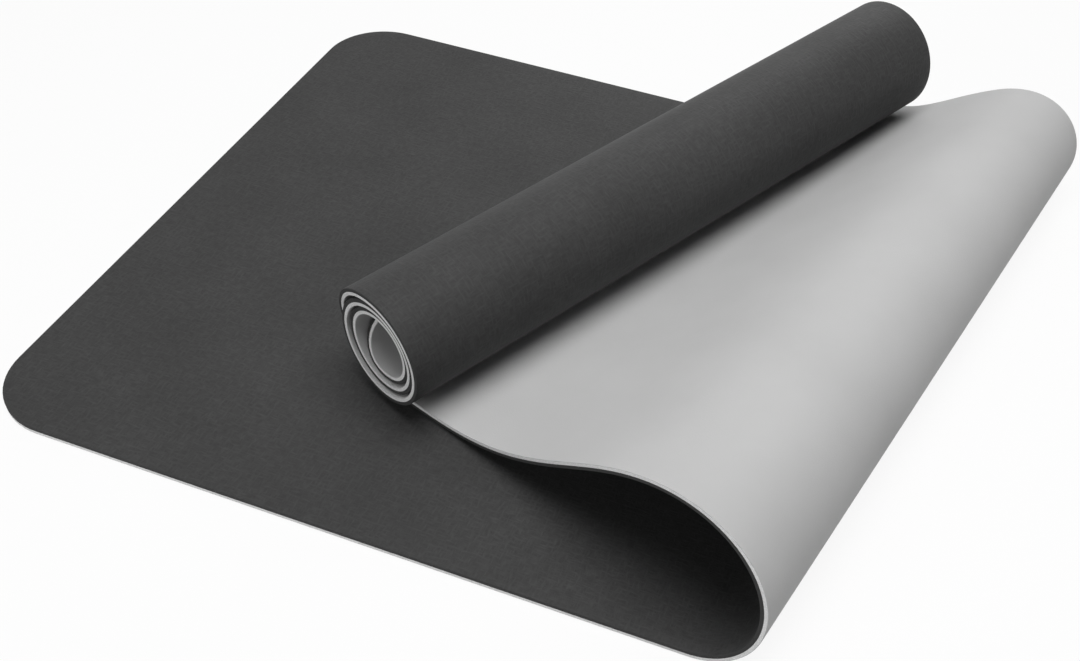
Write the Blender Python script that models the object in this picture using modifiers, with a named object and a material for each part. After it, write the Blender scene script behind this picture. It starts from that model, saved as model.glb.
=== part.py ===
"""Two-tone exercise mat of foam, lying flat at one end and rolled up at the other.

The mat is two foam layers glued face to face and cut with rounded corners. It lies with
the charcoal layer up, doubles back over itself in a loose, slightly conical fold, and the
turned-over stretch runs into a roll that rests on the flat part. Every point is first
placed on the flat blank, with x along the mat and y across it, and then laid out. +X runs
towards the fold, +Z is up, and the origin lies under the middle of the flat stretch.
"""

import math

import bmesh
import bpy
import numpy as np

# The blank, in metres, as it is cut
MAT_LENGTH = 1.830
MAT_WIDTH = 0.610
CORNER_RADIUS = 0.058
TOP_THICKNESS = 0.003
BOTTOM_THICKNESS = 0.003
GLUE_GAP = 0.0003
CORNER_STEPS = 8

# The fold: lengths along the middle of the blank, and how far the lines that it bends
# about are turned from square to the mat
FLAT_RUN = 0.625
BEND_RUN = 0.238
SETTLE_RUN = 0.174
BEND_SKEW = math.radians(11.5)
CREST_SKEW = math.radians(3.4)
REST_GAP = 0.0005
BEND_STEPS = 60
SETTLE_STEPS = 20

# The roll, wound out from its bore: its axis is turned from square to the flat stretch,
# and its outermost turn is looser than the others and flares towards the far end. The
# roll's radius comes from the bore and the mat's length, in whole steps.
BORE_RADIUS = 0.0201
FAR_END_FLARE = 0.0034
RADIUS_STEP = 0.0001
ROLL_TURN = math.radians(25.05)
REST_RUN = 0.0066
OUTER_TURN_GAP = 0.003
INNER_TURN_GAP = 0.0016
EDGE_SETBACK = 0.0136
EDGE_RECESS = 0.002
TURN_STEPS = 60

# First guesses of the angles that are solved, and the solver's step and rounds
LIFT_GUESS = math.radians(215)
SETTLE_GUESS = math.radians(35)
LANDING_SKEW_GUESS = math.radians(2)
SOLVER_STEP = 1e-5
SOLVER_ROUNDS = 20

SHARP_ANGLE = math.radians(40)
SHEET_THICKNESS = TOP_THICKNESS + BOTTOM_THICKNESS
RETURN_HEIGHT = SHEET_THICKNESS + REST_GAP + TOP_THICKNESS
OUTER_PITCH = SHEET_THICKNESS + OUTER_TURN_GAP
INNER_PITCH = SHEET_THICKNESS + INNER_TURN_GAP
END_RADIUS = BORE_RADIUS + BOTTOM_THICKNESS
ROLL_ALONG = np.array([-math.cos(ROLL_TURN), math.sin(ROLL_TURN), 0])
ROLL_AXIS = np.array([math.sin(ROLL_TURN), math.cos(ROLL_TURN), 0])
UP = np.array([0, 0, 1])


def clear_scene():
    for item in list(bpy.data.objects):
        bpy.data.objects.remove(item, do_unlink=True)


def shifted(offset):
    """A 4 by 4 matrix that moves space by an offset."""
    matrix = np.eye(4)
    matrix[:3, 3] = offset
    return matrix


def turned(point, axis, angle):
    """A 4 by 4 matrix that turns space about an axis through a point."""
    x, y, z = axis
    cross = np.array([[0, -z, y], [z, 0, -x], [-y, x, 0]])
    turn = np.eye(3) + math.sin(angle) * cross + (1 - math.cos(angle)) * cross @ cross
    matrix = np.eye(4)
    matrix[:3, :3] = turn
    matrix[:3, 3] = point - turn @ point
    return matrix


def placed(matrix, x, y):
    """Where a point of the blank lies after a matrix has placed its stretch."""
    return (matrix @ np.array([x, y, 0, 1]))[:3]


def sheet_angle(run, lift, settle):
    """The sheet's slope at a distance along the fold: it turns over, then settles."""
    bend_share = min(run / BEND_RUN, 1)
    settle_share = max(run - BEND_RUN, 0) / SETTLE_RUN
    turned_over = lift * math.sin(math.pi / 2 * bend_share)
    return turned_over - settle * (1 - math.cos(math.pi * settle_share)) / 2


def line_skew(run, landing_skew):
    """How far the line that the sheet bends about there is turned from square."""
    bend_share = min(run / BEND_RUN, 1)
    settle_share = max(run - BEND_RUN, 0) / SETTLE_RUN
    skew = CREST_SKEW + (BEND_SKEW - CREST_SKEW) * math.cos(math.pi / 2 * bend_share)
    return skew + (landing_skew - CREST_SKEW) * settle_share


def line_ends(run, landing_skew):
    """The blank's x at the near and the far end of the bend line at a distance."""
    middle = FLAT_RUN + run
    lean = MAT_WIDTH / 2 * math.tan(line_skew(run, landing_skew))
    return middle - lean, middle + lean


def fold(lift, settle, landing_skew):
    """Turn the blank about each bend line in turn; give the lines and the last matrix."""
    matrix = shifted([-FLAT_RUN / 2, -MAT_WIDTH / 2, BOTTOM_THICKNESS])
    bend = [(BEND_RUN * (i + 0.5) / BEND_STEPS, BEND_RUN / BEND_STEPS) for i in range(BEND_STEPS)]
    settling = [
        (BEND_RUN + SETTLE_RUN * (i + 0.5) / SETTLE_STEPS, SETTLE_RUN / SETTLE_STEPS)
        for i in range(SETTLE_STEPS)
    ]
    lines = []
    for run, step in bend + settling:
        near_x, far_x = line_ends(run, landing_skew)
        lines.append((run, placed(matrix, near_x, 0), placed(matrix, far_x, MAT_WIDTH)))
        turn = sheet_angle(run + step / 2, lift, settle) - sheet_angle(run - step / 2, lift, settle)
        skew = line_skew(run, landing_skew)
        axis = -np.array([math.sin(skew), math.cos(skew), 0])
        matrix = matrix @ turned(np.array([near_x, 0, 0]), axis, turn)
    return lines, matrix


def landing_error(angles):
    """How far the turned-over stretch is from lying flat on the mat, as three ratios."""
    lines, matrix = fold(*angles)
    landed = placed(matrix, FLAT_RUN + BEND_RUN + SETTLE_RUN, MAT_WIDTH / 2)
    return np.array([matrix[0, 2], matrix[1, 2], (landed[2] - RETURN_HEIGHT) / BEND_RUN])


def solve_landing():
    """Newton's method for the fold's three free angles, so that the stretch lands flat."""
    angles = np.array([LIFT_GUESS, SETTLE_GUESS, LANDING_SKEW_GUESS])
    for _ in range(SOLVER_ROUNDS):
        error = landing_error(angles)
        slopes = [(landing_error(angles + step) - error) / SOLVER_STEP for step in SOLVER_STEP * np.eye(3)]
        angles = angles - np.linalg.solve(np.array(slopes).T, error)
    return angles


def fold_stations():
    """The sheet's near and far points on each bend line, eased down to the roll's foot.

    The roll lies a little more askew than the sheet lands, so the foam gives: towards the
    roll, the lines swing round until the last is parallel to the roll's axis.
    """
    angles = solve_landing()
    lines, matrix = fold(*angles)
    near_x, far_x = line_ends(BEND_RUN + SETTLE_RUN, angles[2])
    roll_start = near_x + REST_RUN
    foot = placed(matrix, roll_start, 0)
    landing = foot - REST_RUN * ROLL_ALONG
    near_shift = landing - placed(matrix, near_x, 0)
    far_shift = landing + MAT_WIDTH * ROLL_AXIS - placed(matrix, far_x, MAT_WIDTH)
    stations = []
    for run, near, far in lines:
        ease = (max(run - BEND_RUN, 0) / SETTLE_RUN) ** 2
        stations.append((near + ease * near_shift, far + ease * far_shift))
    stations.append((landing, landing + MAT_WIDTH * ROLL_AXIS))
    return stations, foot, roll_start


def foot_radius(wound_length):
    """The glue line's radius at the roll's near foot, from the length wound round the bore.

    A spiral's length is its angle times its mean radius. Here the first turn's wider pitch
    adds to that, and so does the far end's flare, by its mean over the first two turns.
    """
    added = (OUTER_PITCH - INNER_PITCH) / 2 + FAR_END_FLARE / 2 + FAR_END_FLARE / 4
    even_length = wound_length - math.tau * added
    root = math.sqrt(END_RADIUS**2 + 2 * INNER_PITCH * even_length / math.tau)
    turns = (root - END_RADIUS) / INNER_PITCH
    radius = END_RADIUS + OUTER_PITCH + INNER_PITCH * (turns - 1)
    return round(radius / RADIUS_STEP) * RADIUS_STEP


def turn_radius(start, flare, angle):
    """The glue line's radius at an angle along the winding, at an end with a flare.

    The flare is taken up within the second turn.
    """
    turns = angle / math.tau
    later_turns = max(turns - 1, 0)
    taken_up = flare * min(later_turns, 1)
    return start + flare - OUTER_PITCH * min(turns, 1) - INNER_PITCH * later_turns - taken_up


def edge_slip(angle):
    """How far the cut edge lies in along the roll from its foot: it comes out, then recedes."""
    come_out = EDGE_SETBACK * (1 - math.cos(min(angle, math.pi))) / 2
    return EDGE_RECESS * max(angle - math.pi, 0) / math.tau - come_out


def wound_edge(foot, start, flare, angle):
    """Where the sheet's edge lies at an angle along the winding, from its foot on."""
    spoke = math.sin(angle) * ROLL_ALONG - math.cos(angle) * UP
    centre = foot + turn_radius(start, flare, 0) * UP
    return centre + turn_radius(start, flare, angle) * spoke + edge_slip(angle) * ROLL_AXIS


def corner_inset(from_end):
    """How far the rounded corner draws the side in at a distance from the mat's end."""
    return CORNER_RADIUS - math.sqrt(CORNER_RADIUS**2 - max(CORNER_RADIUS - from_end, 0) ** 2)


def corner_distances():
    """Distances from the mat's end of the stations round a corner, end first."""
    steps = [math.pi / 2 * i / CORNER_STEPS for i in range(CORNER_STEPS + 1)]
    return [CORNER_RADIUS * (1 - math.cos(step)) for step in steps]


def flat_stations():
    stations = []
    for x in corner_distances():
        inset = corner_inset(x)
        matrix = shifted([-FLAT_RUN / 2, -MAT_WIDTH / 2, BOTTOM_THICKNESS])
        stations.append((placed(matrix, x, inset), placed(matrix, x, MAT_WIDTH - inset)))
    return stations


def roll_stations(foot, roll_start):
    """Wind what is left of the blank's length, down to its rounded free end.

    The foam gives a little in the two outer turns, where the roll's far end is wider.
    """
    step = math.tau / TURN_STEPS
    start = foot_radius(MAT_LENGTH - roll_start)
    angles = [0]
    reached = [roll_start]
    while reached[-1] < MAT_LENGTH:
        radius = turn_radius(start, FAR_END_FLARE / 2, angles[-1] + step / 2)
        reached.append(reached[-1] + radius * step)
        angles.append(angles[-1] + step)
    places = [(x, angle) for x, angle in zip(reached, angles) if x < MAT_LENGTH - CORNER_RADIUS]
    rounded = [MAT_LENGTH - distance for distance in reversed(corner_distances())]
    places += [(x, float(np.interp(x, reached, angles))) for x in rounded]
    stations = []
    for x, angle in places:
        near = wound_edge(foot, start, 0, angle)
        far = wound_edge(foot + MAT_WIDTH * ROLL_AXIS, start, FAR_END_FLARE, angle)
        drawn_in = corner_inset(MAT_LENGTH - x) / MAT_WIDTH * (far - near)
        stations.append((near + drawn_in, far - drawn_in))
    return stations


def turn_gap(outer, inner):
    """The least gap between two turns at a station of each, square to the roll's axis."""
    apart = [there - here for here, there in zip(outer, inner)]
    square = [offset - offset @ ROLL_AXIS * ROLL_AXIS for offset in apart]
    return min(np.linalg.norm(offset) for offset in square) - SHEET_THICKNESS


def print_least_gaps(wound):
    turn_gaps = [turn_gap(outer, inner) for outer, inner in zip(wound, wound[TURN_STEPS:])]
    lowest = min(point[2] for station in wound for point in station) - TOP_THICKNESS
    print("Least gap between the roll's turns, in metres:", round(min(turn_gaps), 5))
    print("Least gap under the roll, in metres:", round(lowest - SHEET_THICKNESS, 5))


def glue_surface():
    """The laid-out surface between the layers, as near and far points from end to end."""
    folded, foot, roll_start = fold_stations()
    wound = roll_stations(foot, roll_start)
    print_least_gaps(wound)
    return flat_stations() + folded + wound


def laid_sheet(stations, side):
    """A strip on the stations, moved off the glue line to one side of it."""
    mesh = bmesh.new()
    bmesh.ops.create_grid(mesh, x_segments=len(stations) - 1, y_segments=1, size=0.5)
    for vertex in mesh.verts:
        station = round((vertex.co.x + 0.5) * (len(stations) - 1))
        vertex.co = stations[station][1 if vertex.co.y > 0 else 0]
    mesh.normal_update()
    offsets = [vertex.normal * vertex.calc_shell_factor() * side * GLUE_GAP / 2 for vertex in mesh.verts]
    for vertex, offset in zip(mesh.verts, offsets):
        vertex.co += offset
    return mesh


def add_layer(name, stations, side, thickness, material, collection):
    """One foam layer: the strip thickened away from the glue line, side 1 up or -1 down."""
    strip = laid_sheet(stations, side)
    surface = bpy.data.meshes.new(name)
    strip.to_mesh(surface)
    strip.free()
    layer = bpy.data.objects.new(name, surface)
    collection.objects.link(layer)
    solid = layer.modifiers.new("foam", "SOLIDIFY")
    solid.thickness = thickness - GLUE_GAP / 2
    solid.offset = side
    solid.use_even_offset = True
    bpy.context.view_layer.update()
    shape = bpy.data.meshes.new_from_object(layer.evaluated_get(bpy.context.evaluated_depsgraph_get()))
    layer.modifiers.clear()
    layer.data = shape
    shape.name = name
    shape.shade_smooth()
    shape.set_sharp_from_angle(angle=SHARP_ANGLE)
    shape.materials.append(material)
    bpy.data.meshes.remove(surface)
    return layer


def foam(name, colour, roughness):
    material = bpy.data.materials.new(name)
    material.use_nodes = True
    shader = material.node_tree.nodes["Principled BSDF"]
    shader.inputs["Base Color"].default_value = (*colour, 1)
    shader.inputs["Roughness"].default_value = roughness
    shader.inputs["Metallic"].default_value = 0
    return material


def charcoal_foam():
    return foam("charcoal_foam", (0.055, 0.055, 0.057), 0.75)


def grey_foam():
    return foam("grey_foam", (0.5, 0.5, 0.5), 0.85)


def build():
    clear_scene()
    collection = bpy.data.collections.new("yoga_mat")
    bpy.context.scene.collection.children.link(collection)
    stations = glue_surface()
    add_layer("top_layer", stations, 1, TOP_THICKNESS, charcoal_foam(), collection)
    add_layer("bottom_layer", stations, -1, BOTTOM_THICKNESS, grey_foam(), collection)


build()
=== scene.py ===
import math

import bmesh
import bpy
import numpy as np
from mathutils import Matrix, Vector


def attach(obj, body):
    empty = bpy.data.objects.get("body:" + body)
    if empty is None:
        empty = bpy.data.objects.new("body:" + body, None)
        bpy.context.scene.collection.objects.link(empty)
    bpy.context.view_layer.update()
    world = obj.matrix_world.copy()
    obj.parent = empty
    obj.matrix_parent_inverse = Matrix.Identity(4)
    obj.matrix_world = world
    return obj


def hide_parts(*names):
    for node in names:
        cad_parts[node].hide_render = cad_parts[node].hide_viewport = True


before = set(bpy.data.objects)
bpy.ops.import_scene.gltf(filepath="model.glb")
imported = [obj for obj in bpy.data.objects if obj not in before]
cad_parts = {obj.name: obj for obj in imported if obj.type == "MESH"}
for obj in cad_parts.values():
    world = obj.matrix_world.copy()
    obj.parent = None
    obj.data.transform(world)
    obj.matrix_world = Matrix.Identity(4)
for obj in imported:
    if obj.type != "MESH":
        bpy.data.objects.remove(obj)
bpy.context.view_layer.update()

# The charcoal layer: the upper of the mat's two sheets of closed-cell foam. It is extruded,
# embossed with a fine woven grain while warm, glued to the grey layer all over, and die-cut
# with it, so its side is bare foam and its upper rim is pressed slightly round.
MAT_LENGTH = 1.830
MAT_WIDTH = 0.610
CORNER_RADIUS = 0.058
LAYER_THICKNESS = 0.003
GLUE_GAP = 0.0001
RIM_RADIUS = 0.0005

# How the mat lies: its flat stretch, the fold with the skew of the lines that it bends
# about, the stretch that settles on the flat one, and the roll
FLAT_RUN = 0.625
BEND_RUN = 0.238
SETTLE_RUN = 0.174
BEND_SKEW = math.radians(11.5)
CREST_SKEW = math.radians(3.4)
REST_GAP = 0.0005
REST_RUN = 0.0066
BORE_RADIUS = 0.0201
FAR_END_FLARE = 0.0034
RADIUS_STEP = 0.0001
ROLL_TURN = math.radians(25.05)
OUTER_PITCH = 0.009
INNER_PITCH = 0.0076
EDGE_SETBACK = 0.0136
EDGE_RECESS = 0.002

# How finely it is worked out and meshed
LANDING_GUESS = np.radians([215, 35, 2])
ANGLE_STEP = 1e-5
NEWTON_ROUNDS = 12
HALVINGS = 30
BEND_STEPS = 120
SETTLE_STEPS = 60
TURN_STEPS = 120
CORNER_STEPS = 16
COLUMN_STEP = 0.004
ROWS = 60
RIM_STEPS = 5
LEVEL_SLACK = 0.01
SHARP_ANGLE = math.radians(50)

ROLL_ALONG = np.array([-math.cos(ROLL_TURN), math.sin(ROLL_TURN), 0])
ROLL_AXIS = np.array([math.sin(ROLL_TURN), math.cos(ROLL_TURN), 0])
UP = np.array([0, 0, 1])


def turned(point, axis, angle):
    """A matrix that turns space about an axis through a point."""
    move = Matrix.Translation(point)
    return np.array(move @ Matrix.Rotation(angle, 4, axis) @ move.inverted())


def placed(matrix, x, y):
    """Where a point of the blank lies after a matrix has placed its stretch."""
    return (matrix @ np.array([x, y, 0, 1]))[:3]


def sheet_angle(run, lift, settle):
    """The sheet's slope at a distance along the fold: it turns over, then settles."""
    bend_share = min(run / BEND_RUN, 1)
    settle_share = max(run - BEND_RUN, 0) / SETTLE_RUN
    turned_over = lift * math.sin(math.pi / 2 * bend_share)
    return turned_over - settle * (1 - math.cos(math.pi * settle_share)) / 2


def line_skew(run, landing_skew):
    """How far the line that the sheet bends about there is turned from square."""
    bend_share = min(run / BEND_RUN, 1)
    settle_share = max(run - BEND_RUN, 0) / SETTLE_RUN
    skew = CREST_SKEW + (BEND_SKEW - CREST_SKEW) * math.cos(math.pi / 2 * bend_share)
    return skew + (landing_skew - CREST_SKEW) * settle_share


def line_ends(run, landing_skew):
    """The blank's x at the near and the far end of the bend line at a distance."""
    middle = FLAT_RUN + run
    lean = MAT_WIDTH / 2 * math.tan(line_skew(run, landing_skew))
    return middle - lean, middle + lean


def fold(lift, settle, landing_skew):
    """Turn the blank about each bend line in turn; give the lines and the last matrix."""
    matrix = np.array(Matrix.Translation((-FLAT_RUN / 2, -MAT_WIDTH / 2, LAYER_THICKNESS)))
    bend_step = BEND_RUN / BEND_STEPS
    settle_step = SETTLE_RUN / SETTLE_STEPS
    runs = [(bend_step * (i + 0.5), bend_step) for i in range(BEND_STEPS)]
    runs += [(BEND_RUN + settle_step * (i + 0.5), settle_step) for i in range(SETTLE_STEPS)]
    lines = []
    for run, step in runs:
        near_x, far_x = line_ends(run, landing_skew)
        lines.append((run, near_x, far_x, placed(matrix, near_x, 0), placed(matrix, far_x, MAT_WIDTH)))
        skew = line_skew(run, landing_skew)
        before = sheet_angle(run - step / 2, lift, settle)
        after = sheet_angle(run + step / 2, lift, settle)
        bend_line = (-math.sin(skew), -math.cos(skew), 0)
        matrix = matrix @ turned((near_x, 0, 0), bend_line, after - before)
    return lines, matrix


def landing_error(angles):
    """How far the turned-over stretch is from lying flat on the mat, as three ratios.

    It lies flat with its glue line three layers up: two of the flat stretch, one of its own.
    """
    lines, matrix = fold(*angles)
    landed = placed(matrix, FLAT_RUN + BEND_RUN + SETTLE_RUN, MAT_WIDTH / 2)
    height = landed[2] - 3 * LAYER_THICKNESS - REST_GAP
    return np.array([matrix[0, 2], matrix[1, 2], height / BEND_RUN])


def landing_angles():
    """Newton's method for the lift, the settling and the last skew that land it flat."""
    angles = LANDING_GUESS
    for _ in range(NEWTON_ROUNDS):
        error = landing_error(angles)
        changes = ANGLE_STEP * np.eye(3)
        slopes = [(landing_error(angles + change) - error) / ANGLE_STEP for change in changes]
        angles = angles - np.linalg.solve(np.array(slopes).T, error)
    return angles


def foot_radius(wound_length):
    """The glue line's radius at the roll's near foot, from the length wound round the bore.

    A spiral's length is its angle times its mean radius. Here the first turn's wider pitch
    adds to that, and so does the far end's flare, by its mean over the first two turns.
    """
    added = (OUTER_PITCH - INNER_PITCH) / 2 + FAR_END_FLARE / 2 + FAR_END_FLARE / 4
    even_length = wound_length - math.tau * added
    end_radius = BORE_RADIUS + LAYER_THICKNESS
    root = math.sqrt(end_radius**2 + 2 * INNER_PITCH * even_length / math.tau)
    turns = (root - end_radius) / INNER_PITCH
    radius = end_radius + OUTER_PITCH + INNER_PITCH * (turns - 1)
    return round(radius / RADIUS_STEP) * RADIUS_STEP


def turn_radius(start, flare, angle):
    """The glue line's radius at an angle along the winding, at an end with a flare.

    The flare is taken up within the second turn.
    """
    turns = angle / math.tau
    later_turns = max(turns - 1, 0)
    taken_up = flare * min(later_turns, 1)
    return start + flare - OUTER_PITCH * min(turns, 1) - INNER_PITCH * later_turns - taken_up


def edge_slip(angle):
    """How far the cut edge lies in along the roll from its foot: it comes out, then recedes."""
    come_out = EDGE_SETBACK * (1 - math.cos(min(angle, math.pi))) / 2
    return EDGE_RECESS * max(angle - math.pi, 0) / math.tau - come_out


def wound_edge(foot, start, flare, angle):
    """Where the sheet's edge lies at an angle along the winding, from its foot on."""
    spoke = math.sin(angle) * ROLL_ALONG - math.cos(angle) * UP
    centre = foot + turn_radius(start, flare, 0) * UP
    return centre + turn_radius(start, flare, angle) * spoke + edge_slip(angle) * ROLL_AXIS


def mat_stations():
    """Lines across the mat from end to end: their places on the blank and as laid out."""
    corner = np.array([-FLAT_RUN / 2, -MAT_WIDTH / 2, LAYER_THICKNESS])
    stations = [(0, 0, corner, corner + np.array([0, MAT_WIDTH, 0]))]
    angles = landing_angles()
    lines, matrix = fold(*angles)
    near_x, far_x = line_ends(BEND_RUN + SETTLE_RUN, angles[2])
    foot = placed(matrix, near_x + REST_RUN, 0)
    landing = foot - REST_RUN * ROLL_ALONG
    near_shift = landing - placed(matrix, near_x, 0)
    far_shift = landing + MAT_WIDTH * ROLL_AXIS - placed(matrix, far_x, MAT_WIDTH)
    for run, line_near, line_far, near, far in lines:
        ease = (max(run - BEND_RUN, 0) / SETTLE_RUN) ** 2
        stations.append((line_near, line_far, near + ease * near_shift, far + ease * far_shift))
    stations.append((near_x, far_x, landing, landing + MAT_WIDTH * ROLL_AXIS))

    step = math.tau / TURN_STEPS
    wound = MAT_LENGTH - near_x - REST_RUN
    start = foot_radius(wound)
    wound_far = MAT_LENGTH - far_x - REST_RUN
    angle = 0
    arc = 0
    while arc < wound + step * start:
        line_near = near_x + REST_RUN + arc
        line_far = far_x + REST_RUN + wound_far * arc / wound
        near = wound_edge(foot, start, 0, angle)
        far = wound_edge(foot + MAT_WIDTH * ROLL_AXIS, start, FAR_END_FLARE, angle)
        stations.append((line_near, line_far, near, far))
        arc += step * turn_radius(start, FAR_END_FLARE / 2, angle + step / 2)
        angle += step
    return stations


stations = mat_stations()
near_places = np.array([station[0] for station in stations])
far_places = np.array([station[1] for station in stations])
near_points = np.array([station[2] for station in stations])
far_points = np.array([station[3] for station in stations])
near_slopes = np.gradient(near_points, axis=0)
far_slopes = np.gradient(far_points, axis=0)


def read_at(spots, values):
    """Read a table of stations at places between them."""
    index = np.arange(len(values))
    if values.ndim == 1:
        return np.interp(spots, index, values)
    return np.stack([np.interp(spots, index, column) for column in values.T], axis=1)


def laid_out(blank):
    """Lay out points of the flat blank: x along it, y across it, z above the glue line."""
    across = blank[:, 1] / MAT_WIDTH
    low = np.zeros(len(blank))
    high = np.full(len(blank), len(stations) - 1.0)
    for _ in range(HALVINGS):
        middle = (low + high) / 2
        place = (1 - across) * read_at(middle, near_places) + across * read_at(middle, far_places)
        low = np.where(place < blank[:, 0], middle, low)
        high = np.where(place < blank[:, 0], high, middle)
    spots = (low + high) / 2
    across = across[:, None]
    near = read_at(spots, near_points)
    far = read_at(spots, far_points)
    along = (1 - across) * read_at(spots, near_slopes) + across * read_at(spots, far_slopes)
    normal = np.cross(along, far - near)
    normal /= np.linalg.norm(normal, axis=1)[:, None]
    return near + across * (far - near) + blank[:, 2:] * normal


def column_places(length, radius):
    """Where the columns of vertices lie along a blank with rounded corners."""
    corner = [radius * (1 - math.cos(math.pi / 2 * i / CORNER_STEPS)) for i in range(CORNER_STEPS)]
    straight = round((length - 2 * radius) / COLUMN_STEP)
    middle = [radius + (length - 2 * radius) * i / straight for i in range(straight + 1)]
    return np.array(corner + middle + [length - x for x in reversed(corner)])


def foam_layer(name, side):
    """A layer on its side of the glue line, 1 up or -1 down: a slab that is then laid out."""
    columns = len(column_places(MAT_LENGTH, CORNER_RADIUS)) - 1
    mesh = bmesh.new()
    bmesh.ops.create_grid(mesh, x_segments=columns, y_segments=ROWS, size=0.5)
    bmesh.ops.solidify(mesh, geom=mesh.verts[:] + mesh.edges[:] + mesh.faces[:], thickness=1)
    uprights = [edge for edge in mesh.edges if abs(edge.verts[0].co.z - edge.verts[1].co.z) > 0.5]
    bmesh.ops.subdivide_edges(mesh, edges=uprights, cuts=RIM_STEPS)
    unit = np.array([vertex.co for vertex in mesh.verts])
    level = unit[:, 2] - unit[:, 2].min()

    # The rim: bare foam straight up from the glue, then a quarter round at the outer face
    straight_share = 1 / (RIM_STEPS + 1)
    arc = math.pi / 2 * np.clip((level - straight_share) / (1 - straight_share), 0, 1)
    straight_height = LAYER_THICKNESS - RIM_RADIUS
    glue_height = GLUE_GAP / 2
    height = np.where(level < straight_share / 2, glue_height, straight_height + RIM_RADIUS * np.sin(arc))
    tuck = RIM_RADIUS * (1 - np.cos(arc))

    # The outline: a long rectangle with round corners, drawn in by the rim's tuck
    column = np.round((unit[:, 0] + 0.5) * columns).astype(int)
    reach = column_places(MAT_LENGTH, CORNER_RADIUS)[column]
    drawn_in = column_places(MAT_LENGTH - 2 * RIM_RADIUS, CORNER_RADIUS - RIM_RADIUS)
    drawn_in = np.interp(np.linspace(0, 1, columns + 1), np.linspace(0, 1, len(drawn_in)), drawn_in)[column]
    along = reach + (drawn_in + RIM_RADIUS - reach) * tuck / RIM_RADIUS
    radius = CORNER_RADIUS - tuck
    from_end = np.minimum(along - tuck, MAT_LENGTH - tuck - along)
    inset = tuck + radius - np.sqrt(np.maximum(radius**2 - np.maximum(radius - from_end, 0) ** 2, 0))
    across = inset + (MAT_WIDTH - 2 * inset) * (unit[:, 1] + 0.5)
    blank = np.stack([along, across, side * height], axis=1)

    for vertex, place in zip(mesh.verts, laid_out(blank)):
        vertex.co = place
    uv = mesh.loops.layers.uv.new("blank_in_metres")
    for face in mesh.faces:
        levels = [level[vertex.index] for vertex in face.verts]
        face.material_index = int(min(levels) < LEVEL_SLACK < max(levels))
        face.smooth = True
        for loop in face.loops:
            loop[uv].uv = blank[loop.vert.index, :2]
    bmesh.ops.recalc_face_normals(mesh, faces=mesh.faces)
    data = bpy.data.meshes.new(name)
    mesh.to_mesh(data)
    mesh.free()
    data.set_sharp_from_angle(angle=SHARP_ANGLE)
    layer = bpy.data.objects.new(name, data)
    bpy.context.scene.collection.objects.link(layer)
    return layer


def linear(hex_colour):
    """An sRGB hex colour as the linear values that shaders take."""
    shares = [int(hex_colour[i : i + 2], 16) / 255 for i in (1, 3, 5)]
    return [s / 12.92 if s <= 0.04045 else ((s + 0.055) / 1.055) ** 2.4 for s in shares] + [1]


def add_node(material, kind, inputs, **settings):
    """Add a node with its settings, and with each input set or linked."""
    node = material.node_tree.nodes.new(kind)
    for name, value in settings.items():
        setattr(node, name, value)
    for name, value in inputs.items():
        if isinstance(value, bpy.types.NodeSocket):
            material.node_tree.links.new(value, node.inputs[name])
        else:
            node.inputs[name].default_value = value
    return node


def new_material(name):
    """An empty node material."""
    material = bpy.data.materials.new(name)
    material.use_nodes = True
    material.node_tree.nodes.clear()
    return material


def per_mm(width, length):
    """Mapping scales that stretch a pattern on the blank to a width and a length in mm."""
    return (1000 / length, 1000 / width, 1)


def ranges(source, target):
    """The inputs that map one range of values onto another."""
    return {"From Min": source[0], "From Max": source[1], "To Min": target[0], "To Max": target[1]}


# Thermoplastic elastomer foam with a calendered skin: a matt, slightly uneven charcoal,
# broken up by embossed threads that catch the light most where the sheet bends. That light
# and shade on the threads is painted into the colour, as lighter and darker threads over the
# whole skin alike. The threads and the grain are drawn coarser than real ones, at a size that shows.
CHARCOAL = "#3B3B3B"
THREAD_WIDTH_MM = 2
THREAD_LENGTH_MM = 8
GRAIN_MM = 1.8
MOTTLE_MM = 80
GRAIN_SHARE = 0.35
EMBOSS_DEPTH = 0.0006
NOISE_RANGE = (0.3, 0.7)
THREAD_RANGE = (0.4, 0.75)
# How much darker and lighter the threads are painted: painted shade and painted highlight
THREAD_PAINTED_LIGHT = (0.84, 1.22)
MOTTLE_SHADES = (0.9, 1.1)

charcoal = new_material("charcoal_foam_woven_emboss")
blank_uv = add_node(charcoal, "ShaderNodeTexCoord", {}).outputs["UV"]
warp_at = add_node(
    charcoal, "ShaderNodeMapping", {"Vector": blank_uv, "Scale": per_mm(THREAD_WIDTH_MM, THREAD_LENGTH_MM)}
)
warp = add_node(charcoal, "ShaderNodeTexNoise", {"Vector": warp_at.outputs[0], "Scale": 1, "Detail": 2})
weft_at = add_node(
    charcoal, "ShaderNodeMapping", {"Vector": blank_uv, "Scale": per_mm(THREAD_LENGTH_MM, THREAD_WIDTH_MM)}
)
weft = add_node(charcoal, "ShaderNodeTexNoise", {"Vector": weft_at.outputs[0], "Scale": 1, "Detail": 2})
threads = add_node(
    charcoal, "ShaderNodeMath", {0: warp.outputs["Fac"], 1: weft.outputs["Fac"]}, operation="MAXIMUM"
)
grain_at = add_node(
    charcoal, "ShaderNodeMapping", {"Vector": blank_uv, "Scale": per_mm(GRAIN_MM, GRAIN_MM)}
)
grain = add_node(charcoal, "ShaderNodeTexNoise", {"Vector": grain_at.outputs[0], "Scale": 1, "Detail": 3})
mottle_at = add_node(
    charcoal, "ShaderNodeMapping", {"Vector": blank_uv, "Scale": per_mm(MOTTLE_MM, MOTTLE_MM)}
)
mottle = add_node(charcoal, "ShaderNodeTexNoise", {"Vector": mottle_at.outputs[0], "Scale": 1, "Detail": 4})
relief = add_node(
    charcoal,
    "ShaderNodeMath",
    {0: grain.outputs["Fac"], 1: GRAIN_SHARE, 2: threads.outputs[0]},
    operation="MULTIPLY_ADD",
)
emboss = add_node(
    charcoal, "ShaderNodeBump", {"Height": relief.outputs[0], "Strength": 0.6, "Distance": EMBOSS_DEPTH}
)
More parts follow.
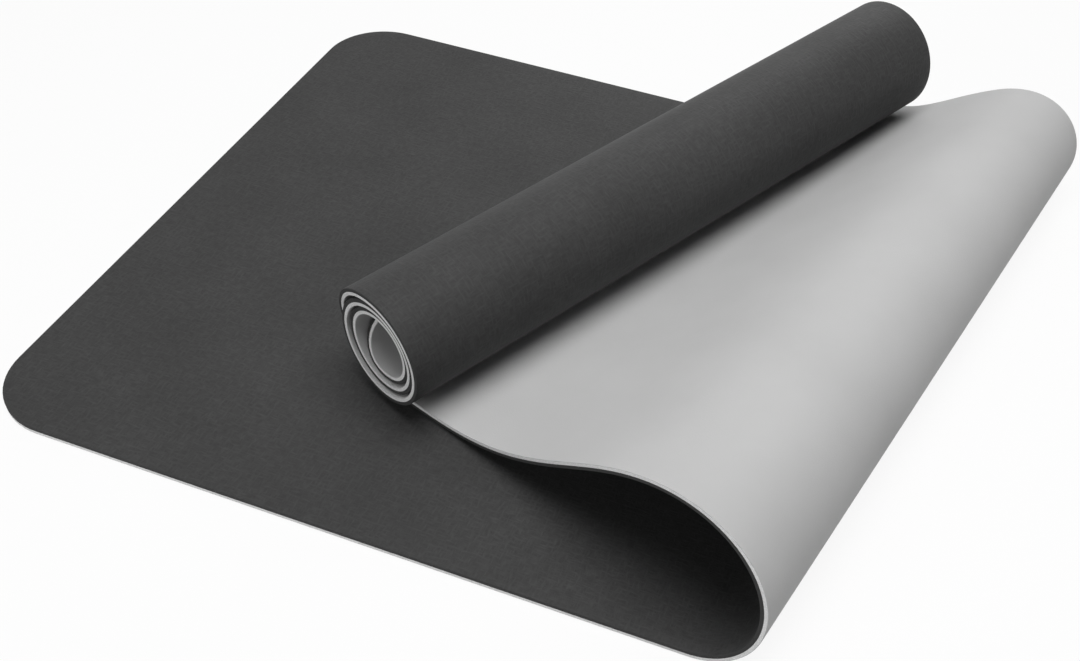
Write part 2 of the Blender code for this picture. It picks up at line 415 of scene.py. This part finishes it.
# Painted highlight and shade: the threads are made lighter and darker in the colour, as if they caught the
# light
thread_painted_light = add_node(
    charcoal, "ShaderNodeMapRange", {"Value": threads.outputs[0], **ranges(THREAD_RANGE, THREAD_PAINTED_LIGHT)}
)
cloud = add_node(
    charcoal, "ShaderNodeMapRange", {"Value": mottle.outputs["Fac"], **ranges(NOISE_RANGE, MOTTLE_SHADES)}
)
tone = add_node(
    charcoal, "ShaderNodeMath", {0: thread_painted_light.outputs[0], 1: cloud.outputs[0]}, operation="MULTIPLY"
)
skin_colour = add_node(
    charcoal, "ShaderNodeVectorMath", {0: linear(CHARCOAL)[:3], "Scale": tone.outputs[0]}, operation="SCALE"
)
skin = add_node(
    charcoal,
    "ShaderNodeBsdfPrincipled",
    {
        "Base Color": skin_colour.outputs[0],
        "Roughness": 0.6,
        "Specular IOR Level": 0.12,
        "Normal": emboss.outputs[0],
    },
)
add_node(charcoal, "ShaderNodeOutputMaterial", {"Surface": skin.outputs[0]})

# The same foam where the die has cut it: open cells and no skin, so it is drier and a little
# darker. The cells are drawn coarser than real ones, at a size that shows.
CHARCOAL_CUT = "#363636"
CELL_MM = 1.0
CELL_SHADES = (0.88, 1.12)
CELL_DEPTH = 0.0002


def cut_foam(name, colour):
    """The bare side of a foam layer: cells that are unevenly light, and pitted."""
    material = new_material(name)
    here = add_node(material, "ShaderNodeTexCoord", {}).outputs["Object"]
    cells_at = add_node(
        material, "ShaderNodeMapping", {"Vector": here, "Scale": (1000 / CELL_MM,) * 3}
    )
    cells = add_node(
        material, "ShaderNodeTexNoise", {"Vector": cells_at.outputs[0], "Scale": 1, "Detail": 2}
    )
    pits = add_node(
        material, "ShaderNodeBump", {"Height": cells.outputs[0], "Strength": 0.4, "Distance": CELL_DEPTH}
    )
    lightness = add_node(
        material, "ShaderNodeMapRange", {"Value": cells.outputs[0], **ranges(NOISE_RANGE, CELL_SHADES)}
    )
    cell_colour = add_node(
        material,
        "ShaderNodeVectorMath",
        {0: linear(colour)[:3], "Scale": lightness.outputs[0]},
        operation="SCALE",
    )
    side = add_node(
        material,
        "ShaderNodeBsdfPrincipled",
        {
            "Base Color": cell_colour.outputs[0],
            "Roughness": 0.85,
            "Specular IOR Level": 0.25,
            "Normal": pits.outputs[0],
        },
    )
    add_node(material, "ShaderNodeOutputMaterial", {"Surface": side.outputs[0]})
    return material


charcoal_cut = cut_foam("charcoal_foam_cut_side", CHARCOAL_CUT)

charcoal_layer = foam_layer("charcoal_layer", 1)
charcoal_layer.data.materials.append(charcoal)
charcoal_layer.data.materials.append(charcoal_cut)
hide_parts("top_layer")
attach(charcoal_layer, "root")

# The grey layer: the lower of the two sheets, of the same foam without an emboss. It comes
# off a smooth roller, so its skin is even and matt, with faint pores. These are drawn
# coarser than real ones, so that they show.
GREY = "#B9B9B9"
PORE_MM = 1.2
PORE_DEPTH = 0.0003
GREY_MOTTLE_MM = 70
GREY_SHADES = (0.975, 1.025)

grey = new_material("grey_foam_smooth")
grey_uv = add_node(grey, "ShaderNodeTexCoord", {}).outputs["UV"]
pore_at = add_node(grey, "ShaderNodeMapping", {"Vector": grey_uv, "Scale": per_mm(PORE_MM, PORE_MM)})
pores = add_node(grey, "ShaderNodeTexNoise", {"Vector": pore_at.outputs[0], "Scale": 1, "Detail": 3})
drift_at = add_node(
    grey, "ShaderNodeMapping", {"Vector": grey_uv, "Scale": per_mm(GREY_MOTTLE_MM, GREY_MOTTLE_MM)}
)
drift = add_node(grey, "ShaderNodeTexNoise", {"Vector": drift_at.outputs[0], "Scale": 1, "Detail": 3})
pitting = add_node(
    grey, "ShaderNodeBump", {"Height": pores.outputs["Fac"], "Strength": 0.35, "Distance": PORE_DEPTH}
)
drift_tone = add_node(
    grey, "ShaderNodeMapRange", {"Value": drift.outputs["Fac"], **ranges(NOISE_RANGE, GREY_SHADES)}
)
grey_colour = add_node(
    grey, "ShaderNodeVectorMath", {0: linear(GREY)[:3], "Scale": drift_tone.outputs[0]}, operation="SCALE"
)
grey_skin = add_node(
    grey,
    "ShaderNodeBsdfPrincipled",
    {
        "Base Color": grey_colour.outputs[0],
        "Roughness": 0.7,
        "Specular IOR Level": 0.2,
        "Normal": pitting.outputs[0],
    },
)
add_node(grey, "ShaderNodeOutputMaterial", {"Surface": grey_skin.outputs[0]})

# Its cut side: a paler grey than the skin
GREY_CUT = "#DEDEDE"

grey_cut = cut_foam("grey_foam_cut_side", GREY_CUT)

grey_layer = foam_layer("grey_layer", -1)
grey_layer.data.materials.append(grey)
grey_layer.data.materials.append(grey_cut)
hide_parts("bottom_layer")
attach(grey_layer, "root")

# The floor: a sheet of studio paper, level with the mat's underside. The camera sees it
# white, with a trace of the mat's soft shadow, and the mat gets a paler bounce from it.
FLOOR_SIZE = 12
FLOOR_PAPER = "#ECECEC"
WHITE = (1, 1, 1, 1)
SHADOW_SHARE = 0.1


def seen_white(material):
    """A factor that is 1 for the rays that show the background: seen, mirrored or let through."""
    path = add_node(material, "ShaderNodeLightPath", {}).outputs
    direct = add_node(
        material,
        "ShaderNodeMath",
        {0: path["Is Camera Ray"], 1: path["Is Glossy Ray"]},
        operation="MAXIMUM",
    )
    return add_node(
        material,
        "ShaderNodeMath",
        {0: direct.outputs[0], 1: path["Is Transmission Ray"]},
        operation="MAXIMUM",
    ).outputs[0]


floor_mesh = bmesh.new()
bmesh.ops.create_grid(floor_mesh, x_segments=1, y_segments=1, size=FLOOR_SIZE / 2)
floor_data = bpy.data.meshes.new("studio_floor")
floor_mesh.to_mesh(floor_data)
floor_mesh.free()
floor = bpy.data.objects.new("studio_floor", floor_data)
bpy.context.scene.collection.objects.link(floor)
paper = new_material("white_paper")
matt = add_node(paper, "ShaderNodeBsdfDiffuse", {"Color": linear(FLOOR_PAPER)})
glow = add_node(paper, "ShaderNodeEmission", {"Color": WHITE, "Strength": 1.0})
share = add_node(
    paper, "ShaderNodeMath", {0: seen_white(paper), 1: 1 - SHADOW_SHARE}, operation="MULTIPLY"
)
both = add_node(
    paper, "ShaderNodeMixShader", {0: share.outputs[0], 1: matt.outputs[0], 2: glow.outputs[0]}
)
add_node(paper, "ShaderNodeOutputMaterial", {"Surface": both.outputs[0]})
floor_data.materials.append(paper)

# The light: a dim pale room all round, and soft panels that face the mat, most of it from
# overhead: each panel's name, side in metres, watts and place
ROOM_STRENGTH = 0.02
AIM = Vector((0.1, 0.05, 0.03))
PANELS = [
    ("overhead_panel", 1.2, 31, (0.22, -0.1, 1.8)),
    ("back_panel", 1.2, 12, (0, 2.15, 1.2)),
    ("front_panel", 1.0, 12, (-0.8, -1.8, 0.8)),
    ("right_panel", 1.0, 2, (2.2, 0.2, 0.5)),
]

world = bpy.data.worlds.new("studio")
bpy.context.scene.world = world
world.use_nodes = True
world.node_tree.nodes.clear()
room = add_node(world, "ShaderNodeBackground", {"Color": WHITE, "Strength": ROOM_STRENGTH})
backdrop = add_node(world, "ShaderNodeBackground", {"Color": WHITE, "Strength": 1.0})
sky = add_node(
    world, "ShaderNodeMixShader", {0: seen_white(world), 1: room.outputs[0], 2: backdrop.outputs[0]}
)
add_node(world, "ShaderNodeOutputWorld", {"Surface": sky.outputs[0]})

for name, size, watts, place in PANELS:
    panel = bpy.data.lights.new(name, "AREA")
    panel.shape = "SQUARE"
    panel.size = size
    panel.energy = watts
    panel_object = bpy.data.objects.new(name, panel)
    panel_object.location = place
    panel_object.rotation_euler = (Vector(place) - AIM).to_track_quat("Z", "Y").to_euler()
    bpy.context.scene.collection.objects.link(panel_object)

# The camera: above the near side, looking down across the mat. Its lens is shifted, as
# the optical axis lies below the middle of the picture and a little to its right.
CAMERA_PLACE = (0.3288, -0.7552, 0.6946)
CAMERA_YAW = math.radians(-18.18)
CAMERA_PITCH = math.radians(48.93)
CAMERA_ROLL = math.radians(3.61)
FOCAL_PIXELS = 1250.8
PHOTO_WIDTH = 1080
PHOTO_HEIGHT = 661
AXIS_PIXEL = (595.4, 473.9)
SENSOR_WIDTH = 36

camera = bpy.data.cameras.new("camera")
camera.sensor_width = SENSOR_WIDTH
camera.lens = FOCAL_PIXELS / PHOTO_WIDTH * SENSOR_WIDTH
camera.shift_x = (PHOTO_WIDTH / 2 - AXIS_PIXEL[0]) / PHOTO_WIDTH
camera.shift_y = (AXIS_PIXEL[1] - PHOTO_HEIGHT / 2) / PHOTO_WIDTH
camera_object = bpy.data.objects.new("camera", camera)
turn_down = Matrix.Rotation(math.pi / 2 - CAMERA_PITCH, 4, "X")
turn_about = Matrix.Rotation(-CAMERA_YAW, 4, "Z")
tilt = Matrix.Rotation(CAMERA_ROLL, 4, "Z")
camera_object.matrix_world = Matrix.Translation(CAMERA_PLACE) @ turn_about @ turn_down @ tilt
bpy.context.scene.collection.objects.link(camera_object)
bpy.context.scene.camera = camera_object
bpy.context.scene.view_settings.view_transform = "Standard"
